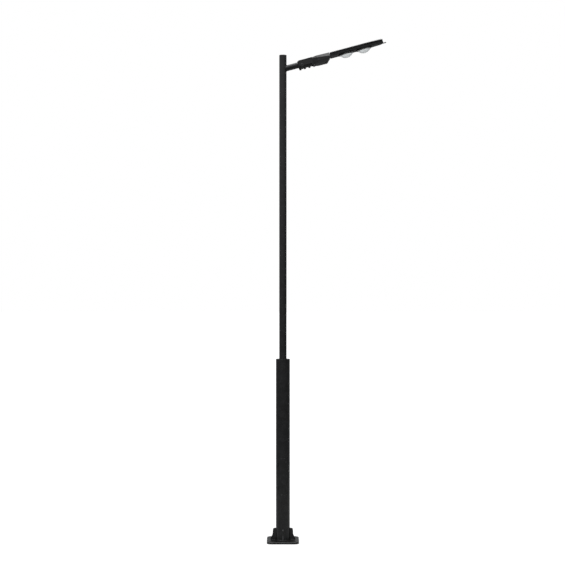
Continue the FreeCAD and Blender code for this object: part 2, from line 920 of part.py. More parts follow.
def cheek():
    """Side plate on +w that reaches back beside the sleeve to the pivot."""
    start = sleeve_start + cheek_start_back
    end = housing_rear + housing_wall
    plate = block(
        (start, end), (cheek_inner, cheek_outer), (-cheek_below, cheek_above), cheek_corner, V(0, 1, 0)
    )
    root = block((end - cheek_root, end), (cheek_inner, cheek_outer), (rear_floor, cheek_above))
    boss = rod(boss_r, V(pivot_u, cheek_inner, -pivot_drop), V(pivot_u, boss_face, -pivot_drop))
    rim = [e for e in boss.Edges if e.BoundBox.YMin > boss_face - weld_gap]
    boss = boss.makeChamfer(boss_proud / 2, rim)
    hole = rod(
        pivot_shoulder_r + turning_gap,
        V(pivot_u, cheek_inner - cheek_gap, -pivot_drop), V(pivot_u, boss_face, -pivot_drop),
    )
    return union([plate, root, boss]).cut(hole)


def driver_screw_places():
    """Middle of each of the driver's ears."""
    near = housing_rear + driver_from_rear - driver_ear / 2
    far = housing_rear + driver_from_rear + driver_length + driver_ear / 2
    spread = driver_width / 3
    return [(u, driver_side + s) for u in (near, far) for s in (-spread, spread)]


def housing_posts():
    """Posts that hang from the roof and carry the driver, the terminals and the surge protector."""
    places = [(u, w, driver_top) for u, w in driver_screw_places()]
    for start, length, top in (
        (terminal_from_rear, terminal_length, terminal_top), (surge_from_rear, surge_length, surge_top)
    ):
        places += [(housing_rear + start + length * share, terminal_side, top) for share in (0.25, 0.75)]
    return [rod(post_r, V(u, w, low), V(u, w, rear_roof)) for u, w, low in places]


def cover_knuckle(side, grow=0):
    """Knuckle of the cover's hinge on +w: side -1 belongs to the housing, side 1 to the cover."""
    low = cover_hinge_offset + parting_gap / 2 - grow
    if side > 0:
        low = cover_hinge_offset - parting_gap / 2 - cover_knuckle_length - grow
    high = low + cover_knuckle_length + 2 * grow
    return rod(cover_knuckle_r + grow, V(cover_axis_u, low, cover_axis_v), V(cover_axis_u, high, cover_axis_v))


def housing_hinge():
    """The housing's knuckle with the web that hangs it from the foot."""
    knuckle = cover_knuckle(-1)
    y = (knuckle.BoundBox.YMin, knuckle.BoundBox.YMax)
    web = block((housing_rear, cover_axis_u), y, (cover_axis_v - cover_knuckle_r, rear_floor))
    return union([knuckle, web]).cut(cover_pin_hole())


def cover_pin_hole():
    low = cover_hinge_offset - 2 * cover_knuckle_length
    high = cover_hinge_offset + 2 * cover_knuckle_length
    r = cover_pin_r + turning_gap
    return rod(r, V(cover_axis_u, low, cover_axis_v), V(cover_axis_u, high, cover_axis_v))


def sink_screw_places():
    return [(side * sink_screw_side, v) for side in (-1, 1) for v in (sink_screw_low, sink_screw_high)]


def vent_face():
    """Outside of the housing's -w wall at the vent."""
    return -housing_section(housing_rear + vent_from_rear)[0]


def driver_housing():
    """Cast upper housing with its cheeks; open below, where the cover closes it."""
    outer = housing_body(0, 0, housing_rear, housing_front).cut(slant_wedge(0))
    cavity = housing_body(housing_wall, -housing_wall, housing_rear + housing_wall, housing_front - front_wall)
    cavity = cavity.cut(slant_wedge(slant_wall))
    upper = outer.common(slice_between((housing_rear, housing_front), (split_height, 2 * rear_roof)))
    foot_end = cover_start - foot_gap
    foot = outer.common(slice_between((housing_rear, foot_end), (rear_floor, split_height)))
    ledge_u = (housing_rear, cover_start + housing_wall)
    ledge = outer.common(slice_between(ledge_u, (split_height, split_height + ledge_thick)))
    posts = union(housing_posts()).common(outer)
    pieces = [upper.cut(cavity), foot, ledge, posts]
    pieces += both_sides(cheek()) + both_sides(housing_hinge())
    body = union(pieces)
    for u, w in driver_screw_places():
        depth = V(u, w, driver_top + driver_ear_thick)
        body = body.cut(rod(driver_screw_r + screw_gap, V(u, w, driver_top), depth))
    for w, v in sink_screw_places():
        ends = (V(housing_front - front_wall, w, v), V(housing_front, w, v))
        body = body.cut(rod(sink_screw_r + screw_gap, *ends))
    gland_ends = (V(housing_rear, 0, 0), V(housing_rear + housing_wall, 0, 0))
    body = body.cut(rod(head_gland_r + screw_gap, *gland_ends))
    u = housing_rear + vent_from_rear
    vent_ends = (V(u, vent_face() - vent_proud, vent_height), V(u, vent_face() + 2 * housing_wall, vent_height))
    return body.cut(rod(vent_r / 2 + screw_gap, *vent_ends))


def driver_cover():
    """Tray that swings down at its rear edge."""
    outer = housing_body(0, 0, cover_start, housing_front).cut(slant_wedge(0))
    outer = outer.common(slice_between((cover_start, housing_front), (front_floor, cover_rim)))
    start = cover_start + housing_wall
    tray = housing_body(housing_wall, cover_floor_thick, start, housing_front - front_wall)
    tray = tray.cut(slant_wedge(slant_wall))
    knuckles = []
    for knuckle in both_sides(cover_knuckle(1)):
        box = knuckle.BoundBox
        arm_end_u = cover_start + 2 * housing_wall
        arm_v = (cover_axis_v - cover_knuckle_r, housing_section(arm_end_u)[2] + cover_floor_thick / 2)
        arm = block((cover_axis_u, arm_end_u), (box.YMin, box.YMax), arm_v)
        relief = block((cover_axis_u, cover_start), (box.YMin, box.YMax), (cover_axis_v, arm_v[1]))
        knuckles.append(union([knuckle, arm.cut(relief)]))
    body = union([outer.cut(tray)] + knuckles)
    for hole in both_sides(cover_pin_hole()):
        body = body.cut(hole)
    spindle = rod(latch_spindle_r + turning_gap, V(latch_u, 0, 2 * front_floor), V(latch_u, 0, split_height))
    return body.cut(spindle)


def cover_gasket():
    """Rubber strip under the housing's rim."""
    start = cover_start + parting_gap
    edge = cover_gasket_edge
    outer = housing_body(edge, 0, start, housing_front - edge).cut(slant_wedge(edge))
    inner = housing_body(housing_wall, 0, cover_start + housing_wall, housing_front - front_wall)
    inner = inner.cut(slant_wedge(slant_wall))
    band = slice_between((start, housing_front), (split_height - cover_gasket_thick, split_height))
    return outer.cut(inner).common(band)


def cover_hinge_pin():
    reach = cover_knuckle_length + parting_gap
    low = V(cover_axis_u, cover_hinge_offset - reach, cover_axis_v)
    return rod(cover_pin_r, low, low + V(0, 2 * reach, 0))


def cover_latch():
    """Quarter-turn latch: a finger knob below the cover and a bar inside it."""
    knob_top = front_floor - parting_gap
    knob = rod(latch_knob_r, V(latch_u, 0, knob_top - latch_knob_thick), V(latch_u, 0, knob_top))
    rim = [e for e in knob.Edges if e.BoundBox.ZMax < knob_top - latch_knob_thick / 2]
    knob = knob.makeChamfer(latch_knob_thick / 4, rim)
    half = latch_grip_width / 2
    low = knob_top - latch_knob_thick - latch_grip_height
    grip_reach = latch_knob_r - latch_knob_thick / 4
    grip = block(
        (latch_u - half, latch_u + half), (-grip_reach, grip_reach),
        (low, knob_top - latch_knob_thick / 2), half / 2, V(0, 1, 0),
    )
    bar_top = latch_bar_low + latch_bar_thick
    spindle = rod(latch_spindle_r, V(latch_u, 0, knob_top), V(latch_u, 0, bar_top))
    half = latch_bar_width / 2
    bar = block((latch_u - half, latch_u + half), (-latch_bar_reach, 0), (latch_bar_low, bar_top))
    return union([knob, grip, spindle, bar])


def latch_keeper():
    """Bracket on the front wall whose lip the latch's bar turns onto."""
    half = keeper_width / 2
    tip = latch_u + keeper_inset
    lip_top = latch_bar_low - parting_gap
    low = lip_top - keeper_thick
    web = block((tip + keeper_reach - keeper_thick, tip + keeper_reach), (-half, half), (low, keeper_top))
    lip = block((tip, tip + keeper_reach), (-half, half), (low, lip_top))
    top = block(
        (tip + keeper_reach - keeper_thick, housing_front - front_wall), (-half, half),
        (keeper_top - keeper_thick, keeper_top),
    )
    return union([web, lip, top])


def led_driver():
    """Sealed driver with an ear at each end."""
    start = housing_rear + driver_from_rear
    end = start + driver_length
    w = (driver_side - driver_width / 2, driver_side + driver_width / 2)
    body = block((start, end), w, (driver_top - driver_height, driver_top), driver_ear_thick, V(1, 0, 0))
    ears = block(
        (start - driver_ear, end + driver_ear), (w[0] + driver_ear, w[1] - driver_ear),
        (driver_top - driver_ear_thick, driver_top),
    )
    body = union([body, ears])
    for u, side in driver_screw_places():
        ends = (V(u, side, driver_top - driver_ear_thick), V(u, side, driver_top))
        body = body.cut(rod(driver_screw_r + screw_gap, *ends))
    return body


def driver_screws():
    screws = []
    low = driver_top - driver_ear_thick
    for u, w in driver_screw_places():
        head = rod(driver_screw_head_r, V(u, w, low - driver_screw_head), V(u, w, low))
        tip = V(u, w, driver_top + driver_ear_thick / 2)
        shank = rod(driver_screw_r, V(u, w, low - driver_screw_head), tip)
        screws.append(union([head, shank]))
    return screws


def terminal_block():
    start = housing_rear + terminal_from_rear
    low = terminal_top - terminal_height
    w = (terminal_side - terminal_width / 2, terminal_side + terminal_width / 2)
    body = block((start, start + terminal_length), w, (low, terminal_top))
    step = terminal_length / terminal_ways
    for i in range(terminal_ways):
        u = start + step * (i + 0.5)
        for side in (w[0] + terminal_width / 4, w[1] - terminal_width / 4):
            body = body.cut(rod(terminal_hole_r, V(u, side, low), V(u, side, low + terminal_height / 2)))
    return body


def surge_protector():
    start = housing_rear + surge_from_rear
    w = (terminal_side - surge_width / 2, terminal_side + surge_width / 2)
    return block(
        (start, start + surge_length), w, (surge_top - surge_height, surge_top),
        driver_ear_thick, V(1, 0, 0),
    )


def head_gland():
    """Cable gland in the housing's rear wall: a nut inside and a short neck through the wall."""
    wall_out = V(housing_rear, 0, 0)
    wall_in = V(housing_rear + housing_wall, 0, 0)
    end = V(housing_rear + housing_wall + head_gland_length, 0, 0)
    nut = hexagon(head_gland_across, wall_in, end)
    body = union([rod(head_gland_r, wall_out, end), nut])
    return body.cut(rod(cable_r + screw_gap, wall_out, end))


def breather_vent():
    """Pressure vent on the side wall."""
    u = housing_rear + vent_from_rear
    face = vent_face()
    stem = rod(vent_r / 2, V(u, face - vent_proud, vent_height), V(u, face + housing_wall, vent_height))
    cap = rod(vent_r, V(u, face - vent_proud, vent_height), V(u, face - vent_lift, vent_height))
    return union([cap, stem])


# ---------------------------------------------------------------------------
# Heat sink, lens frame and optics
# ---------------------------------------------------------------------------
def sink_plan(inset, v_low, v_high):
    """Heat sink's plan shape between two heights, set in from its edge."""
    half = sink_half_width - inset
    tip = sink_tip_half_width - inset
    end = sink_end - inset
    bend = sink_end - sink_taper
    side = [V(sink_start, half, v_low), V(bend, half, v_low), V(end, tip, v_low)]
    points = side + [V(p.x, -p.y, p.z) for p in reversed(side)]
    plan = outline(points, V(0, 0, v_high - v_low))
    tip_edges = [
        e for e in plan.Edges
        if e.BoundBox.XMin > bend + sink_tip_corner and e.BoundBox.XLength < e.BoundBox.ZLength / 2
        and e.BoundBox.YLength < e.BoundBox.ZLength / 2
    ]
    return plan.makeFillet(sink_tip_corner, tip_edges)


def sink_half_at(u):
    """Half-width of the heat sink at a place along it."""
    taper = max(0.0, u - (sink_end - sink_taper)) / sink_taper
    return sink_half_width - (sink_half_width - sink_tip_half_width) * taper


def frame_screw_places():
    """Screws that hold the lens frame: beside each lens gap and at both ends."""
    gaps = [lens_centres[0] - lens_pitch / 2 - frame_screw_edge]
    gaps += [c + lens_pitch / 2 for c in lens_centres[:-1]]
    gaps += [lens_centres[-1] + lens_pitch / 2 + frame_screw_edge]
    edge = frame_inset + 2 * frame_screw_edge
    return [(u, side * (sink_half_at(u) - edge)) for u in gaps for side in (-1, 1)]


def heat_sink():
    """Finned casting: a base, cross fins with sloped ends, a rib, a rail round them and a fixing flange."""
    base = sink_plan(0, sink_floor, sink_under_fins)
    half = sink_half_width
    shoulder = sink_top - fin_slope
    profile = [
        (-half, sink_floor), (-half, shoulder), (fin_chamfer - half, sink_top),
        (half - fin_chamfer, sink_top), (half, shoulder), (half, sink_floor),
    ]
    envelope = outline([V(sink_start, w, v) for w, v in profile], V(sink_length, 0, 0))
    envelope = envelope.common(sink_plan(0, sink_floor, sink_top))
    count = int((sink_length - fin_thick) // fin_pitch) + 1
    fins = []
    for i in range(count):
        u = sink_start + fin_pitch * i
        fins.append(block((u, u + fin_thick), (-half, half), (sink_floor, sink_top)).common(envelope))
    rib = block(
        (sink_start, sink_start + fin_pitch * (count - 1)), (-rib_half_width, rib_half_width),
        (sink_floor, rib_top),
    )
    flange = block(
        (housing_front, sink_start + fin_thick), (-flange_half_width, flange_half_width),
        (sink_floor, flange_top),
    )
    deep = block(
        (sink_start, sink_start + sink_screw_depth), (-flange_half_width, flange_half_width),
        (sink_floor, flange_top),
    )
    rail = sink_plan(rail_inset, sink_floor, rail_top)
    rail = rail.cut(sink_plan(rail_inset + rail_thick, sink_floor, rail_top))
    body = union([base, rib, rail, flange, deep] + fins)
    for w, v in sink_screw_places():
        end = V(housing_front + sink_screw_depth, w, v)
        body = body.cut(rod(sink_screw_r + screw_gap, V(housing_front, w, v), end))
    for u, w in frame_screw_places():
        end = V(u, w, sink_floor + frame_screw_depth)
        body = body.cut(rod(frame_screw_r + screw_gap, V(u, w, sink_floor), end))
    return body


def sink_screws():
    screws = []
    face = housing_front - front_wall
    for w, v in sink_screw_places():
        head = rod(sink_screw_head_r, V(face - sink_screw_head, w, v), V(face, w, v))
        shank_end = V(housing_front + sink_screw_depth - parting_gap, w, v)
        screws.append(union([head, rod(sink_screw_r, V(face - sink_screw_head, w, v), shank_end)]))
    return screws


def lens_frame():
    """Thin plate under the heat sink that carries the lenses, with a finger tab at the tip."""
    plan = sink_plan(frame_inset, frame_floor, sink_floor)
    start = sink_start + frame_start
    plan = plan.cut(slice_between((housing_front, start), (frame_floor, sink_floor)))
    tab = block(
        (sink_end - frame_inset - tab_length / 2, sink_end - frame_inset + tab_length),
        (-tab_half_width, tab_half_width), (frame_floor, frame_floor + tab_thick),
        tab_thick * 2, V(0, 0, 1),
    )
    body = union([plan, tab])
    for u in lens_centres:
        body = body.cut(rod(lens_opening_r, V(u, 0, frame_floor), V(u, 0, sink_floor)))
        for x, y in bezel_screw_places(u):
            body = body.cut(rod(bezel_screw_r + screw_gap, V(x, y, frame_floor), V(x, y, sink_floor)))
    for u, w in frame_screw_places():
        body = body.cut(rod(frame_screw_r + screw_gap, V(u, w, frame_floor), V(u, w, sink_floor)))
    return body


def frame_screws():
    screws = []
    for u, w in frame_screw_places():
        low = V(u, w, frame_floor - frame_screw_head)
        head = rod(frame_screw_head_r, low, V(u, w, frame_floor))
        shank = rod(frame_screw_r, low, V(u, w, sink_floor + frame_screw_depth - parting_gap))
        screws.append(union([head, shank]))
    return screws


def bezel_screw_places(u):
    """Screws round one bezel."""
    circle = (lens_flange_r + bezel_r + parting_gap) / 2
    angles = [2 * math.pi * (i + 0.5) / bezel_screws for i in range(bezel_screws)]
    return [(u + circle * math.cos(a), circle * math.sin(a)) for a in angles]


def led_module(u):
    """Square circuit with its round light source."""
    half = led_side / 2
    board = block((u - half, u + half), (-half, half), (sink_floor - led_thick, sink_floor))
    low = sink_floor - led_thick - led_dome_thick
    return union([board, rod(led_dome_r, V(u, 0, low), V(u, 0, sink_floor))])


def reflector(u):
    """Bright cone round the light source."""
    top = sink_floor - led_thick
    low = top - reflector_depth
    down = V(0, 0, -1)
    outer = Part.makeCone(
        reflector_throat_r + reflector_wall, reflector_mouth_r + reflector_wall, reflector_depth,
        V(u, 0, top), down,
    )
    inner = Part.makeCone(reflector_throat_r, reflector_mouth_r, top - low, V(u, 0, top), down)
    return outer.cut(inner)


def dome(r, depth, u, rim):
    """Solid spherical cap that hangs below the height rim."""
    sphere_r = (r * r + depth * depth) / (2 * depth)
    ball = Part.makeSphere(sphere_r, V(u, 0, rim - depth + sphere_r))
    return ball.common(rod(r, V(u, 0, rim - depth), V(u, 0, rim)))


def glass_lens(u):
    """Domed glass with a flat flange."""
    flange = rod(lens_flange_r, V(u, 0, lens_flange_floor), V(u, 0, gasket_floor))
    bowl = dome(lens_r, lens_depth, u, lens_flange_floor)
    hollow_r = lens_r - lens_glass
    hollow = union([
        dome(hollow_r, lens_depth - lens_glass, u, lens_flange_floor),
        rod(hollow_r, V(u, 0, lens_flange_floor), V(u, 0, gasket_floor)),
    ])
    return union([flange, bowl]).cut(hollow)


def lens_gasket(u):
    return ring(lens_flange_r, lens_opening_r, V(u, 0, gasket_floor), V(u, 0, frame_floor))


def bezel_ring(u):
    """Ring that clamps the lens flange to the frame."""
    body = ring(bezel_r, lens_flange_r + parting_gap, V(u, 0, bezel_floor), V(u, 0, frame_floor))
    lip_top = lens_flange_floor - parting_gap / 2
    lip = ring(bezel_r, lens_r + parting_gap, V(u, 0, bezel_floor), V(u, 0, lip_top))
    body = union([body, lip])
    low_edges = [e for e in body.Edges if e.BoundBox.ZMax < bezel_floor + weld_gap]
    rim = [e for e in low_edges if e.BoundBox.XLength > 2 * lens_flange_r]
    body = body.makeChamfer(bezel_lip_thick / 2, rim)
    for x, y in bezel_screw_places(u):
        body = body.cut(rod(bezel_screw_r + screw_gap, V(x, y, bezel_floor), V(x, y, frame_floor)))
    return body


def bezel_ring_screws():
    screws = []
    for u in lens_centres:
        for x, y in bezel_screw_places(u):
            low = V(x, y, bezel_floor - bezel_screw_head)
            head = rod(bezel_screw_head_r, low, V(x, y, bezel_floor))
            screws.append(union([head, rod(bezel_screw_r, low, V(x, y, sink_floor - parting_gap))]))
    return screws


# ---------------------------------------------------------------------------
# All sub-parts
# ---------------------------------------------------------------------------
os.makedirs("parts", exist_ok=True)

save("base_plate", base_plate())
save("base_gussets", *gussets())
save("lower_tube", lower_tube())
save("shoulder_ring", shoulder_ring())
save("centring_ring", centring_ring())
save("upper_tube", upper_tube())
save("pole_cap", pole_cap())
save("arm_tube", arm_tube())

save("door_frame", door_frame())
save("door_gasket", door_gasket())
save("access_door", access_door())
save("hinge_fixed_leaves", *[hinge_leaf(-1, z) for z in hinge_heights()])
save("hinge_door_leaves", *[hinge_leaf(1, z) for z in hinge_heights()])
save("door_hinge_pins", *[hinge_pin(z) for z in hinge_heights()])
save("door_lock_body", lock_body())
save("door_lock_cam", lock_cam())

save("backboard", backboard())
save("backboard_spacers", *board_spacers())
save("backboard_screws", *board_screws())
save("cutout_box", cutout_box())
save("breaker", breaker())
save("breaker_lever", breaker_lever())
save("cutout_glands", *cutout_glands())
save("earth_stud", *earth_stud())
save("supply_cable", supply_cable())
save_head("cable_connector", cable_connector())

save_head("spigot_sleeve", spigot_sleeve())
save_head("clamp_bolts", *clamp_bolts())
save_head("pivot_bolts", *both_sides(pivot_bolt()))
save_head("pivot_washers", *both_sides(pivot_washer()))

save_head("driver_housing", driver_housing())
save_head("driver_cover", driver_cover())
save_head("cover_gasket", cover_gasket())
save_head("cover_hinge_pins", *both_sides(cover_hinge_pin()))
save_head("cover_latch", cover_latch())
save_head("latch_keeper", latch_keeper())
save_head("led_driver", led_driver())
save_head("driver_screws", *driver_screws())
save_head("terminal_block", terminal_block())
save_head("surge_protector", surge_protector())
save_head("head_gland", head_gland())
save_head("breather_vent", breather_vent())

save_head("heat_sink", heat_sink())
save_head("sink_screws", *sink_screws())
save_head("lens_frame", lens_frame())
save_head("frame_screws", *frame_screws())
save_head("led_modules", *[led_module(u) for u in lens_centres])
save_head("reflectors", *[reflector(u) for u in lens_centres])
save_head("glass_lenses", *[glass_lens(u) for u in lens_centres])
save_head("lens_gaskets", *[lens_gasket(u) for u in lens_centres])
save_head("bezel_rings", *[bezel_ring(u) for u in lens_centres])
save_head("bezel_screws", *bezel_ring_screws())
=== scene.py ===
import json
import math

import bmesh
import bpy
from mathutils import Matrix, Vector


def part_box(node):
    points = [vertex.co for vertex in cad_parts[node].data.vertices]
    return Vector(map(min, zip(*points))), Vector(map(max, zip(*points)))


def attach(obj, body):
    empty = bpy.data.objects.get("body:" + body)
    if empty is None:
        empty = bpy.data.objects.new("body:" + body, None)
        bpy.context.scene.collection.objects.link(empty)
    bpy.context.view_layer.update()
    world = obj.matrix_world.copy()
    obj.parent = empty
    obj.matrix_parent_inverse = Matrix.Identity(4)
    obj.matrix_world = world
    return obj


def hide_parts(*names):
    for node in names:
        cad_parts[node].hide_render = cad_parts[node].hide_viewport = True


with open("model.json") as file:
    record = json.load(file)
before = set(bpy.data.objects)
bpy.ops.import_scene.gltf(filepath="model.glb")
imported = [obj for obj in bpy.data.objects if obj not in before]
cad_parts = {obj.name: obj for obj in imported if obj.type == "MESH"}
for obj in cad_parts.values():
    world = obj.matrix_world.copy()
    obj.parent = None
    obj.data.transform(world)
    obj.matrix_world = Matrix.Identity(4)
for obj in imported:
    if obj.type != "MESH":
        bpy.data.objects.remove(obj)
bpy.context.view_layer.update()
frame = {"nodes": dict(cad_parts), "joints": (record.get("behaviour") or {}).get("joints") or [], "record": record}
NODES = frame["nodes"]
SCENE = bpy.context.scene

# ---------------------------------------------------------------------------
# Places taken from the frame, in metres, and offsets that the frame doesn't give
# ---------------------------------------------------------------------------
JOINTS = {joint["name"]: joint for joint in frame["joints"]}
PIVOT = Vector(JOINTS["head_tilt"]["pos_m"])
HEAD_UP = Vector(JOINTS["latch_turn"]["axis"])      # the head's own upright direction
HEAD_ALONG = Vector((HEAD_UP.z, 0.0, -HEAD_UP.x))   # along the arm, away from the column
ACROSS = Vector((0.0, 1.0, 0.0))
ARM_ABOVE_PIVOT = 0.015                             # from the tilt pivot up to the arm's middle line
LED_ABOVE_LENS = 0.004                              # from a lens's flange up to its light source
LED_RADIUS = 0.014
HEAD_TURN = Matrix((HEAD_ALONG, ACROSS, HEAD_UP)).transposed().to_4x4()


def head_place(origin):
    """Matrix that puts a piece modelled level about its own origin into the tilted head's frame."""
    return Matrix.Translation(origin) @ HEAD_TURN


# ---------------------------------------------------------------------------
# Camera, light and floor
# ---------------------------------------------------------------------------
# Light of the surround on the object: its dim and bright side, and below the horizon
SKY_BACK = 0.30
SKY_FRONT = 0.88
SKY_BRIGHT_SIDE = (-0.50, -0.866, 0.0)
SKY_GROUND = 0.02
FLOOR_NEAR = 0.32
FLOOR_FAR = 0.13
THROUGH_GLASS = 0.6
FLOOR_REACH = 80.0
FLOOR_DROP = 0.0005
FLOOR_PALE = 0.40
FLOOR_GLOW = 0.62
POOL_SCALE = 0.1                # the floor's pool of light is measured in units of 10 m
CAMERA_SENSOR = 36.0
CAMERA_DISTANCE = 10.45
CAMERA_HEIGHT = 2.129
CAMERA_SIDE = -0.0033
CAMERA_LENS = 80.9


def add_camera():
    data = bpy.data.cameras.new("camera")
    data.sensor_width = CAMERA_SENSOR
    data.lens = CAMERA_LENS
    data.clip_end = 200.0
    camera = bpy.data.objects.new("camera", data)
    camera.location = (CAMERA_SIDE, -CAMERA_DISTANCE, CAMERA_HEIGHT)
    camera.rotation_euler = (math.radians(90), 0.0, 0.0)
    SCENE.collection.objects.link(camera)
    SCENE.camera = camera


def add_sun(name, direction, strength, spread):
    """Soft light from far away; the spread is its width in degrees."""
    data = bpy.data.lights.new(name, "SUN")
    data.energy = strength
    data.angle = math.radians(spread)
    lamp = bpy.data.objects.new(name, data)
    lamp.rotation_euler = Vector(direction).to_track_quat("-Z", "Y").to_euler()
    SCENE.collection.objects.link(lamp)


def seen_white(tree):
    """One for what the camera sees directly, a share for what it sees through the glass, else zero."""
    sight = tree.nodes.new("ShaderNodeLightPath")
    share = tree.nodes.new("ShaderNodeMath")
    share.operation = "MULTIPLY"
    share.inputs[1].default_value = THROUGH_GLASS
    tree.links.new(sight.outputs["Is Transmission Ray"], share.inputs[0])
    either = tree.nodes.new("ShaderNodeMath")
    either.operation = "MAXIMUM"
    tree.links.new(sight.outputs["Is Camera Ray"], either.inputs[0])
    tree.links.new(share.outputs[0], either.inputs[1])
    return either.outputs[0]


def add_world():
    """Plain studio surround: white behind the object, dimmer where it lights it."""
    world = bpy.data.worlds.new("studio")
    world.use_nodes = True
    tree = world.node_tree
    tree.nodes.clear()
    mix = tree.nodes.new("ShaderNodeMixShader")
    place = tree.nodes.new("ShaderNodeTexCoord")
    parts = tree.nodes.new("ShaderNodeSeparateXYZ")
    tree.links.new(place.outputs["Generated"], parts.inputs["Vector"])
    lit = tree.nodes.new("ShaderNodeBackground")
    lit.inputs["Color"].default_value = (0.97, 0.985, 1.0, 1.0)
    side = tree.nodes.new("ShaderNodeVectorMath")
    side.operation = "DOT_PRODUCT"
    side.inputs[1].default_value = SKY_BRIGHT_SIDE
    tree.links.new(place.outputs["Generated"], side.inputs[0])
    height = remap(tree, parts.outputs["Z"], 0.5, 1.0)
    bright_side = ramp(tree, height, [(0.47, grey(SKY_GROUND)), (0.53, grey(SKY_FRONT))])
    dim_side = ramp(tree, height, [(0.53, grey(SKY_GROUND)), (0.58, grey(SKY_BACK))])
    level = mix_colour(tree, remap(tree, side.outputs["Value"], 0.5, 1.0), dim_side, bright_side)
    tree.links.new(level, lit.inputs["Strength"])
    seen = tree.nodes.new("ShaderNodeBackground")
    seen.inputs["Color"].default_value = (1.0, 1.0, 1.0, 1.0)
    seen.inputs["Strength"].default_value = 1.0
    out = tree.nodes.new("ShaderNodeOutputWorld")
    tree.links.new(seen_white(tree), mix.inputs["Fac"])
    tree.links.new(lit.outputs[0], mix.inputs[1])
    tree.links.new(seen.outputs[0], mix.inputs[2])
    tree.links.new(mix.outputs[0], out.inputs["Surface"])
    SCENE.world = world


def add_floor():
    """Pale and even where the camera sees it; it lights the object mostly from a pool round its foot."""
    mesh = bpy.data.meshes.new("floor")
    far = FLOOR_REACH
    corners = [(-far, -far, 0), (far, -far, 0), (far, far, 0), (-far, far, 0)]
    mesh.from_pydata(corners, [], [(0, 1, 2, 3)])
    floor = bpy.data.objects.new("floor", mesh)
    floor.location.z = -FLOOR_DROP
    SCENE.collection.objects.link(floor)
    material, shader = new_material("studio_floor")
    shader.inputs["Base Color"].default_value = (*grey(FLOOR_PALE), 1.0)
    shader.inputs["Roughness"].default_value = 0.9
    shader.inputs["Specular IOR Level"].default_value = 0.0
    shader.inputs["Emission Color"].default_value = (1.0, 1.0, 1.0, 1.0)
    shader.inputs["Emission Strength"].default_value = FLOOR_GLOW
    tree = material.node_tree
    dim = tree.nodes.new("ShaderNodeBsdfDiffuse")
    reach = tree.nodes.new("ShaderNodeVectorMath")
    reach.operation = "LENGTH"
    tree.links.new(object_place(tree, (POOL_SCALE, POOL_SCALE, POOL_SCALE)), reach.inputs[0])
    pool = ramp(tree, reach.outputs["Value"], [(0.2, grey(FLOOR_NEAR)), (0.5, grey(FLOOR_FAR))])
    tree.links.new(pool, dim.inputs["Color"])
    mix = tree.nodes.new("ShaderNodeMixShader")
    tree.links.new(seen_white(tree), mix.inputs["Fac"])
    tree.links.new(dim.outputs[0], mix.inputs[1])
    tree.links.new(shader.outputs[0], mix.inputs[2])
    tree.links.new(mix.outputs[0], tree.nodes["Material Output"].inputs["Surface"])
    mesh.materials.append(material)


# ---------------------------------------------------------------------------
# Materials
# ---------------------------------------------------------------------------
RIPPLE_SHARE = 0.22             # scale of the coat's slow ripple against its fine skin
WORN_LIFT = 3.0                 # how much paler a rubbed edge is
DUST = (0.105, 0.098, 0.088)
DUST_COVER = 0.018


def new_material(name):
    material = bpy.data.materials.new(name)
    material.use_nodes = True
    shader = material.node_tree.nodes["Principled BSDF"]
    return material, shader


def object_place(tree, stretch=(1.0, 1.0, 1.0)):
    """The piece's own coordinates, so a pattern moves with it."""
    place = tree.nodes.new("ShaderNodeTexCoord")
    mapping = tree.nodes.new("ShaderNodeMapping")
    mapping.inputs["Scale"].default_value = stretch
    tree.links.new(place.outputs["Object"], mapping.inputs["Vector"])
    return mapping.outputs["Vector"]


def noise(tree, place, scale, detail=3.0, roughness=0.5):
    node = tree.nodes.new("ShaderNodeTexNoise")
    node.inputs["Scale"].default_value = scale
    node.inputs["Detail"].default_value = detail
    node.inputs["Roughness"].default_value = roughness
    tree.links.new(place, node.inputs["Vector"])
    return node.outputs["Fac"]


def ramp(tree, value, stops):
    """Colour or grey ramp through (position, colour) stops."""
    node = tree.nodes.new("ShaderNodeValToRGB")
    elements = node.color_ramp.elements
    while len(elements) < len(stops):
        elements.new(0.5)
    for element, (position, colour) in zip(elements, stops):
        element.position = position
        element.color = colour if len(colour) == 4 else (*colour, 1.0)
    tree.links.new(value, node.inputs["Fac"])
    return node.outputs["Color"]


def grey(level):
    return (level, level, level)


def remap(tree, value, low, high):
    """Spreads a 0 to 1 value between two numbers."""
    node = tree.nodes.new("ShaderNodeMapRange")
    node.clamp = False
    node.inputs["To Min"].default_value = low
    node.inputs["To Max"].default_value = high
    tree.links.new(value, node.inputs["Value"])
    return node.outputs["Result"]


def mix_colour(tree, share, first, second):
    node = tree.nodes.new("ShaderNodeMix")
    node.data_type = "RGBA"
    tree.links.new(share, node.inputs["Factor"])
    for socket, value in ((node.inputs[6], first), (node.inputs[7], second)):
        if isinstance(value, tuple):
            socket.default_value = (*value, 1.0)
        else:
            tree.links.new(value, socket)
    return node.outputs[2]


def add_values(tree, first, second):
    node = tree.nodes.new("ShaderNodeMath")
    node.operation = "ADD"
    tree.links.new(first, node.inputs[0])
    tree.links.new(second, node.inputs[1])
    return node.outputs[0]


def upward_dust(tree, place):
    """A share of settled dust: more on faces that look up, broken up by noise."""
    geometry = tree.nodes.new("ShaderNodeNewGeometry")
    parts = tree.nodes.new("ShaderNodeSeparateXYZ")
    tree.links.new(geometry.outputs["Normal"], parts.inputs["Vector"])
    facing = ramp(tree, parts.outputs["Z"], [(0.45, grey(0.0)), (0.98, grey(1.0))])
    patches = ramp(tree, noise(tree, place, 17.0, 6.0, 0.7), [(0.35, grey(0.15)), (0.75, grey(1.0))])
    product = tree.nodes.new("ShaderNodeMath")
    product.operation = "MULTIPLY"
    tree.links.new(facing, product.inputs[0])
    tree.links.new(patches, product.inputs[1])
    return remap(tree, product.outputs[0], 0.0, DUST_COVER)


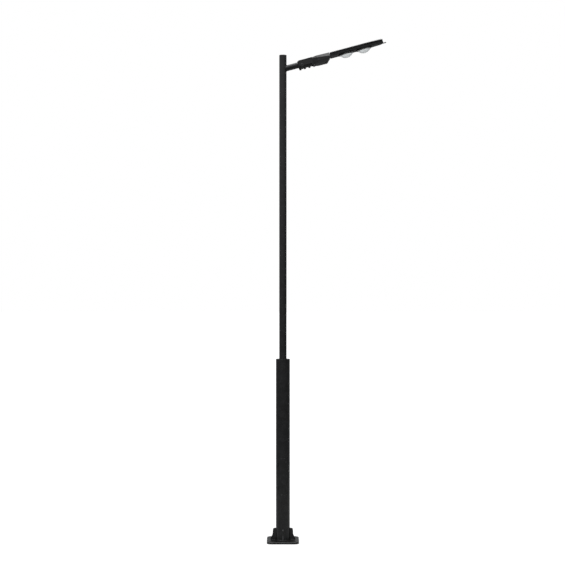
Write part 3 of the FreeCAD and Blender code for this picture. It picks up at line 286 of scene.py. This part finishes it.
def bump(tree, shader, height, distance, strength):
    node = tree.nodes.new("ShaderNodeBump")
    node.inputs["Strength"].default_value = strength
    node.inputs["Distance"].default_value = distance
    tree.links.new(height, node.inputs["Height"])
    tree.links.new(node.outputs["Normal"], shader.inputs["Normal"])


def edge_wear(tree, place, low, high):
    """Bright only on sharp outer edges, broken up by noise."""
    geometry = tree.nodes.new("ShaderNodeNewGeometry")
    edges = ramp(tree, geometry.outputs["Pointiness"], [(low, grey(0.0)), (high, grey(1.0))])
    patches = ramp(tree, noise(tree, place, 26.0, 5.0, 0.65), [(0.46, grey(0.0)), (0.62, grey(1.0))])
    product = tree.nodes.new("ShaderNodeMath")
    product.operation = "MULTIPLY"
    tree.links.new(edges, product.inputs[0])
    tree.links.new(patches, product.inputs[1])
    return product.outputs[0]


def powder_coat(name, dark, light, rough, grain):
    """Black powder coat: orange peel, faint clouds, slightly rubbed edges and dust on what looks up."""
    material, shader = new_material(name)
    tree = material.node_tree
    place = object_place(tree)
    clouds = noise(tree, place, 3.1, 5.0, 0.6)
    colour = ramp(tree, clouds, [(0.25, dark), (0.75, light)])
    worn = edge_wear(tree, place, 0.55, 0.66)
    colour = mix_colour(tree, worn, colour, tuple(c * WORN_LIFT for c in light))
    colour = mix_colour(tree, upward_dust(tree, place), colour, DUST)
    tree.links.new(colour, shader.inputs["Base Color"])
    gloss = remap(tree, noise(tree, place, 9.0, 4.0), rough - 0.07, rough + 0.07)
    tree.links.new(gloss, shader.inputs["Roughness"])
    shader.inputs["Specular IOR Level"].default_value = 0.45
    skin = noise(tree, place, grain, 2.0, 0.6)
    ripple = noise(tree, place, grain * RIPPLE_SHARE, 2.0, 0.5)
    bump(tree, shader, add_values(tree, skin, ripple), 0.00008, 0.5)
    return material


def metal(name, colour, rough, stretch, anisotropy=0.0):
    """Bare metal with fine drawn or turned marks."""
    material, shader = new_material(name)
    tree = material.node_tree
    place = object_place(tree, stretch)
    marks = noise(tree, place, 90.0, 6.0, 0.7)
    darker = tuple(c * 0.78 for c in colour)
    tree.links.new(ramp(tree, marks, [(0.3, darker), (0.7, colour)]), shader.inputs["Base Color"])
    tree.links.new(remap(tree, marks, rough - 0.08, rough + 0.1), shader.inputs["Roughness"])
    shader.inputs["Metallic"].default_value = 1.0
    shader.inputs["Anisotropic"].default_value = anisotropy
    bump(tree, shader, marks, 0.0002, 0.2)
    return material


def zinc(name):
    """Dull galvanised steel with crystal spangles."""
    material, shader = new_material(name)
    tree = material.node_tree
    place = object_place(tree)
    cells = tree.nodes.new("ShaderNodeTexVoronoi")
    cells.inputs["Scale"].default_value = 120.0
    tree.links.new(place, cells.inputs["Vector"])
    shade = ramp(tree, cells.outputs["Color"], [(0.0, (0.34, 0.36, 0.37)), (1.0, (0.60, 0.62, 0.63))])
    tree.links.new(shade, shader.inputs["Base Color"])
    tree.links.new(remap(tree, noise(tree, place, 60.0), 0.38, 0.62), shader.inputs["Roughness"])
    shader.inputs["Metallic"].default_value = 0.85
    bump(tree, shader, noise(tree, place, 300.0), 0.0002, 0.2)
    return material


def plastic(name, colour, rough, grain=900.0, variation=0.12):
    """Moulded plastic or rubber with a fine spark-eroded texture."""
    material, shader = new_material(name)
    tree = material.node_tree
    place = object_place(tree)
    clouds = noise(tree, place, 14.0, 4.0)
    low = tuple(c * (1.0 - variation) for c in colour)
    high = tuple(min(1.0, c * (1.0 + variation)) for c in colour)
    tree.links.new(ramp(tree, clouds, [(0.35, low), (0.65, high)]), shader.inputs["Base Color"])
    gloss = remap(tree, noise(tree, place, 40.0), rough - 0.06, rough + 0.06)
    tree.links.new(gloss, shader.inputs["Roughness"])
    bump(tree, shader, noise(tree, place, grain), 0.0002, 0.3)
    return material


def laminate(name):
    """Resin-bonded board: long fibres and a waxy brown-grey face."""
    material, shader = new_material(name)
    tree = material.node_tree
    fibres = noise(tree, object_place(tree, (60.0, 60.0, 3.0)), 8.0, 6.0, 0.7)
    colour = ramp(tree, fibres, [(0.3, (0.32, 0.25, 0.16)), (0.7, (0.50, 0.42, 0.29))])
    tree.links.new(colour, shader.inputs["Base Color"])
    shader.inputs["Roughness"].default_value = 0.55
    bump(tree, shader, fibres, 0.0003, 0.25)
    return material


def clear_glass(name):
    """Clear dome glass with a faint, uneven haze."""
    material, shader = new_material(name)
    tree = material.node_tree
    place = object_place(tree)
    tree.links.new(remap(tree, noise(tree, place, 35.0, 3.0), 0.05, 0.14), shader.inputs["Roughness"])
    tint = ramp(tree, noise(tree, place, 12.0), [(0.2, (0.90, 0.93, 0.94)), (0.8, (0.97, 0.98, 0.98))])
    tree.links.new(tint, shader.inputs["Base Color"])
    shader.inputs["Transmission Weight"].default_value = 1.0
    shader.inputs["IOR"].default_value = 1.47
    bump(tree, shader, noise(tree, place, 55.0, 2.0), 0.0002, 0.12)
    return material


def phosphor(name, centres, radius):
    """White ceramic board with a yellow phosphor disc over each light source."""
    material, shader = new_material(name)
    tree = material.node_tree
    place = object_place(tree)
    share = None
    for centre in centres:
        distance = tree.nodes.new("ShaderNodeVectorMath")
        distance.operation = "DISTANCE"
        distance.inputs[1].default_value = centre
        tree.links.new(place, distance.inputs[0])
        inside = tree.nodes.new("ShaderNodeMath")
        inside.operation = "LESS_THAN"
        inside.inputs[1].default_value = radius
        tree.links.new(distance.outputs["Value"], inside.inputs[0])
        if share is None:
            share = inside.outputs[0]
        else:
            both = tree.nodes.new("ShaderNodeMath")
            both.operation = "MAXIMUM"
            tree.links.new(share, both.inputs[0])
            tree.links.new(inside.outputs[0], both.inputs[1])
            share = both.outputs[0]
    board = ramp(tree, noise(tree, place, 30.0), [(0.3, grey(0.74)), (0.7, grey(0.84))])
    glow = ramp(tree, noise(tree, place, 160.0), [(0.3, (0.80, 0.62, 0.12)), (0.7, (0.90, 0.74, 0.22))])
    tree.links.new(mix_colour(tree, share, board, glow), shader.inputs["Base Color"])
    shader.inputs["Roughness"].default_value = 0.42
    bump(tree, shader, noise(tree, place, 400.0), 0.0002, 0.2)
    return material


# ---------------------------------------------------------------------------
# Mesh pieces
# ---------------------------------------------------------------------------
BEAD_SIDES = 10
BEAD_RIPPLE = 0.0016
TURN_STEPS = 120


def piece(name, mesh, material, body):
    """New piece of the object, riding on a body."""
    obj = bpy.data.objects.new(name, mesh)
    SCENE.collection.objects.link(obj)
    mesh.materials.clear()
    mesh.materials.append(material)
    mesh.shade_smooth()
    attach(obj, body)
    return obj


def bead_mesh(name, points, closed, width):
    """Weld bead along a line of points: a rippled round string, half sunk in the metal."""
    sides = BEAD_SIDES
    bm = bmesh.new()
    length = 0.0
    rings = []
    count = len(points)
    for i, point in enumerate(points):
        before = points[i - 1] if (i or closed) else point
        after = points[(i + 1) % count] if (i < count - 1 or closed) else point
        along = (after - before).normalized()
        if i:
            length += (point - points[i - 1]).length
        side = along.orthogonal().normalized()
        other = along.cross(side)
        ripple = 0.10 * math.sin(2 * math.pi * length / BEAD_RIPPLE)
        drift = 0.05 * math.sin(37.0 * length / width)
        swell = 1.0 + ripple + drift
        taper = 1.0
        if not closed:
            taper = min(1.0, 0.35 + min(i, count - 1 - i) * 0.3)
        r = width / 2 * swell * taper
        rings.append([
            bm.verts.new(point + side * (r * math.cos(a)) + other * (r * math.sin(a)))
            for a in (2 * math.pi * k / sides for k in range(sides))
        ])
    pairs = range(count if closed else count - 1)
    for i in pairs:
        a, b = rings[i], rings[(i + 1) % count]
        shift = 0
        if closed and i == count - 1:
            shift = min(range(sides), key=lambda s: (a[0].co - b[s].co).length)
        for k in range(sides):
            bm.faces.new((a[k], a[(k + 1) % sides], b[(k + 1 + shift) % sides], b[(k + shift) % sides]))
    if not closed:
        bm.faces.new(rings[0][::-1])
        bm.faces.new(rings[-1])
    bmesh.ops.recalc_face_normals(bm, faces=bm.faces)
    mesh = bpy.data.meshes.new(name)
    bm.to_mesh(mesh)
    bm.free()
    return mesh


def circle_points(centre, r, count):
    angles = [2 * math.pi / count * i for i in range(count)]
    return [centre + Vector((r * math.cos(a), r * math.sin(a), 0.0)) for a in angles]


def line_points(start, end, step):
    count = max(2, int((end - start).length / step))
    return [start.lerp(end, i / count) for i in range(count + 1)]


def revolve(name, profile, steps):
    """Closed shell turned from a closed (r, z) outline about the Z axis."""
    bm = bmesh.new()
    rings = []
    for r, z in profile:
        if r < 1e-7:
            rings.append([bm.verts.new((0.0, 0.0, z))])
            continue
        rings.append([
            bm.verts.new((r * math.cos(a), r * math.sin(a), z))
            for a in (2 * math.pi * k / steps for k in range(steps))
        ])
    count = len(rings)
    for i in range(count):
        a, b = rings[i], rings[(i + 1) % count]
        if len(a) == 1 and len(b) == 1:
            continue
        for k in range(steps):
            n = (k + 1) % steps
            if len(a) == 1:
                bm.faces.new((a[0], b[k], b[n]))
            elif len(b) == 1:
                bm.faces.new((a[k], a[n], b[0]))
            else:
                bm.faces.new((a[k], a[n], b[n], b[k]))
    bmesh.ops.recalc_face_normals(bm, faces=bm.faces)
    mesh = bpy.data.meshes.new(name)
    bm.to_mesh(mesh)
    bm.free()
    return mesh


def arc(centre, r, start, end, count):
    """Points on an arc in the (r, z) plane, angles in degrees."""
    angles = [math.radians(start + (end - start) * i / count) for i in range(count + 1)]
    return [(centre[0] + r * math.cos(a), centre[1] + r * math.sin(a)) for a in angles]


# ---------------------------------------------------------------------------
# Welds
# ---------------------------------------------------------------------------
WELD_WIDTH = 0.006
THIN_WELD = 0.8                 # the smaller welds' width against the foot's
WELD_STEP = 0.0008
WELD_SINK = 0.0004              # how far a gusset's bead sits into the tube
FOOT_STEPS = 420
ARM_STEPS = 260


def add_welds(paint):
    """Beads at the tube's foot, both sides of each gusset and round the arm."""
    plate_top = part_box("base_plate")[1].z
    tube_low, tube_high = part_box("lower_tube")
    tube_r = (tube_high.x - tube_low.x) / 2
    gusset_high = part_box("base_gussets")[1]
    bead = WELD_WIDTH
    ring = circle_points(Vector((0, 0, plate_top)), tube_r, FOOT_STEPS)
    piece("weld_tube_foot", bead_mesh("weld_tube_foot", ring, True, bead), paint, "column")
    gusset_half = gusset_half_thickness()
    for i in range(4):
        turn = Matrix.Rotation(math.pi / 2 * i, 4, "Z")
        for side in (-1, 1):
            y = side * gusset_half
            foot = line_points(
                Vector((tube_r + bead, y, plate_top)),
                Vector((gusset_high.x - bead, y, plate_top)), WELD_STEP,
            )
            upright = line_points(
                Vector((tube_r - WELD_SINK, y, plate_top + bead)),
                Vector((tube_r - WELD_SINK, y, gusset_high.z - bead)), WELD_STEP,
            )
            for kind, points in (("foot", foot), ("side", upright)):
                name = "weld_gusset_%s_%d%s" % (kind, i + 1, "a" if side < 0 else "b")
                points = [turn @ p for p in points]
                piece(name, bead_mesh(name, points, False, bead * THIN_WELD), paint, "column")
    arm_r = (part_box("arm_tube")[1].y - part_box("arm_tube")[0].y) / 2
    pole_r = (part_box("upper_tube")[1].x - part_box("upper_tube")[0].x) / 2
    axis_foot = PIVOT + HEAD_UP * ARM_ABOVE_PIVOT
    base = axis_foot - HEAD_ALONG * (axis_foot.x / HEAD_ALONG.x)
    points = []
    for i in range(ARM_STEPS):
        a = 2 * math.pi * i / ARM_STEPS
        rim = ACROSS * (arm_r * math.sin(a)) + HEAD_UP * (arm_r * math.cos(a))
        start = base + rim
        reach = (math.sqrt(pole_r ** 2 - start.y ** 2) - start.x) / HEAD_ALONG.x
        points.append(start + HEAD_ALONG * reach)
    piece("weld_arm", bead_mesh("weld_arm", points, True, bead * THIN_WELD), paint, "column")


def gusset_half_thickness():
    """Half the thickness of the fin that points along +X."""
    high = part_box("base_gussets")[1]
    tip = [v.co for v in NODES["base_gussets"].data.vertices if v.co.x > high.x - 0.001]
    return max(abs(p.y) for p in tip)


# ---------------------------------------------------------------------------
# Lenses
# ---------------------------------------------------------------------------
def lens_centres():
    """Each lens's middle at its flange, its radius and its depth, from the CAD lenses' own points."""
    points = [v.co for v in NODES["glass_lenses"].data.vertices]
    spans = [p.dot(HEAD_ALONG) for p in points]
    middle = (min(spans) + max(spans)) / 2
    centres = []
    for side in (-1, 1):
        mine = [p for p in points if (p.dot(HEAD_ALONG) - middle) * side > 0]
        along = [p.dot(HEAD_ALONG) for p in mine]
        up = [p.dot(HEAD_UP) for p in mine]
        centre = HEAD_ALONG * ((min(along) + max(along)) / 2) + HEAD_UP * max(up)
        centres.append((centre, (max(along) - min(along)) / 2, max(up) - min(up)))
    return centres


LENS_FLANGE = 0.003
LENS_WALL = 0.003
FLANGE_REACH = 0.0045
FLANGE_ROUND = 0.0008


def add_lenses(glass):
    """Hollow glass domes with a flange, in place of the CAD lenses."""
    flange = LENS_FLANGE
    wall = LENS_WALL
    for i, (centre, flange_r, depth) in enumerate(lens_centres()):
        bowl_r = flange_r - FLANGE_REACH
        drop = depth - flange
        sphere_r = (bowl_r ** 2 + drop ** 2) / (2 * drop)
        sphere_z = -depth + sphere_r
        edge = math.degrees(math.acos(bowl_r / sphere_r))
        outer = arc((0.0, sphere_z), sphere_r, -edge, -90.0, 36)
        outer[-1] = (0.0, -depth)
        inner_r = bowl_r - wall
        inner_drop = drop - wall
        inner_sphere = (inner_r ** 2 + inner_drop ** 2) / (2 * inner_drop)
        inner_z = -depth + wall + inner_sphere
        inner_edge = math.degrees(math.acos(inner_r / inner_sphere))
        inner = arc((0.0, inner_z), inner_sphere, -90.0, -inner_edge, 36)
        inner[0] = (0.0, -depth + wall)
        round_over = FLANGE_ROUND
        profile = [(inner_r, 0.0), (flange_r - round_over, 0.0), (flange_r, -round_over)]
        profile += [(flange_r, -flange + round_over), (flange_r - round_over, -flange)]
        profile += outer + inner
        name = "lens_%d" % (i + 1)
        mesh = revolve(name, profile, TURN_STEPS)
        mesh.transform(head_place(centre))
        lens = piece(name, mesh, glass, "head")
        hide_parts("glass_lenses")


# ---------------------------------------------------------------------------
# Finish of the CAD nodes
# ---------------------------------------------------------------------------
RING_ROUND = 0.0004
RING_EDGE_ANGLE = 35


def paint_nodes(materials):
    """Gives each node the material of its slot; the heat sink gets a darker copy of the head's coat, painted shade
    for the shadow between its fins.
    """
    slots = {part["node"]: part["material_slot"] for part in frame["record"]["subparts"]}
    # the heat sink's darker coat is painted shade: the shadow between its fins painted into its colour
    slots["heat_sink"] = "sink_painted_shade"
    for name, node in NODES.items():
        node.data.materials.clear()
        node.data.materials.append(materials[slots[name]])


def soften_ring():
    """Small round where the shoulder ring's mesh has a shared sharp edge.

    The other nodes in view are split along their sharp edges, so a bevel changes nothing there.
    """
    bevel = NODES["shoulder_ring"].modifiers.new("edge_round", "BEVEL")
    bevel.width = RING_ROUND
    bevel.segments = 2
    bevel.limit_method = "ANGLE"
    bevel.angle_limit = math.radians(RING_EDGE_ANGLE)
    bevel.harden_normals = False


def smooth_all():
    """Smooth shading that stays crisp at real edges."""
    for node in NODES.values():
        node.data.shade_smooth()
        split = node.modifiers.new("sharp_edges", "EDGE_SPLIT")
        split.split_angle = math.radians(32)


def make_materials():
    centres = [tuple(centre + HEAD_UP * LED_ABOVE_LENS) for centre, _, _ in lens_centres()]
    return {
        "column_paint": powder_coat(
            "black_powder_coat", (0.0026, 0.0027, 0.0029), (0.0036, 0.0037, 0.0039), 0.28, 620.0
        ),
        "head_paint": powder_coat(
            "black_cast_coat", (0.0050, 0.0051, 0.0053), (0.0062, 0.0063, 0.0065), 0.44, 520.0
        ),
        # darker copy of the head's cast coat: painted shade for the shadow that falls between the heat sink's fins
        "sink_painted_shade": powder_coat(
            "black_cast_coat_painted_shade", (0.0014, 0.0015, 0.0017), (0.0024, 0.0025, 0.0027), 0.46, 700.0
        ),
        "galvanised_steel": zinc("galvanised"),
        "bright_steel": metal("stainless", (0.62, 0.62, 0.61), 0.30, (1.0, 1.0, 6.0), 0.3),
        "dark_steel": metal("blackened_steel", (0.060, 0.060, 0.062), 0.44, (1.0, 1.0, 1.0)),
        "earth_brass": metal("brass", (0.74, 0.55, 0.24), 0.34, (1.0, 1.0, 4.0)),
        "seal_rubber": plastic("seal_rubber", (0.018, 0.018, 0.019), 0.78),
        "board_plastic": laminate("laminate_board"),
        "dark_plastic": plastic("black_nylon", (0.018, 0.018, 0.02), 0.48),
        "pale_plastic": plastic("grey_white_plastic", (0.62, 0.62, 0.59), 0.42),
        "switch_plastic": plastic("switch_black", (0.015, 0.015, 0.016), 0.30),
        "cable_sheath": plastic("cable_sheath", (0.022, 0.022, 0.023), 0.55),
        "driver_case": metal("driver_aluminium", (0.66, 0.67, 0.69), 0.42, (8.0, 1.0, 1.0), 0.4),
        "led_board": phosphor("led_board", centres, LED_RADIUS),
        "reflector_bright": metal("reflector_aluminium", (0.88, 0.88, 0.88), 0.16, (1.0, 1.0, 1.0)),
        "lens_glass": clear_glass("dome_glass"),
    }


add_camera()
add_world()
add_floor()
add_sun("overhead", (0.06, 0.04, -1.0), 2.6, 60.0)
SCENE.view_settings.view_transform = "Standard"

MATERIALS = make_materials()
paint_nodes(MATERIALS)
soften_ring()
smooth_all()
add_welds(MATERIALS["column_paint"])
add_lenses(MATERIALS["lens_glass"])
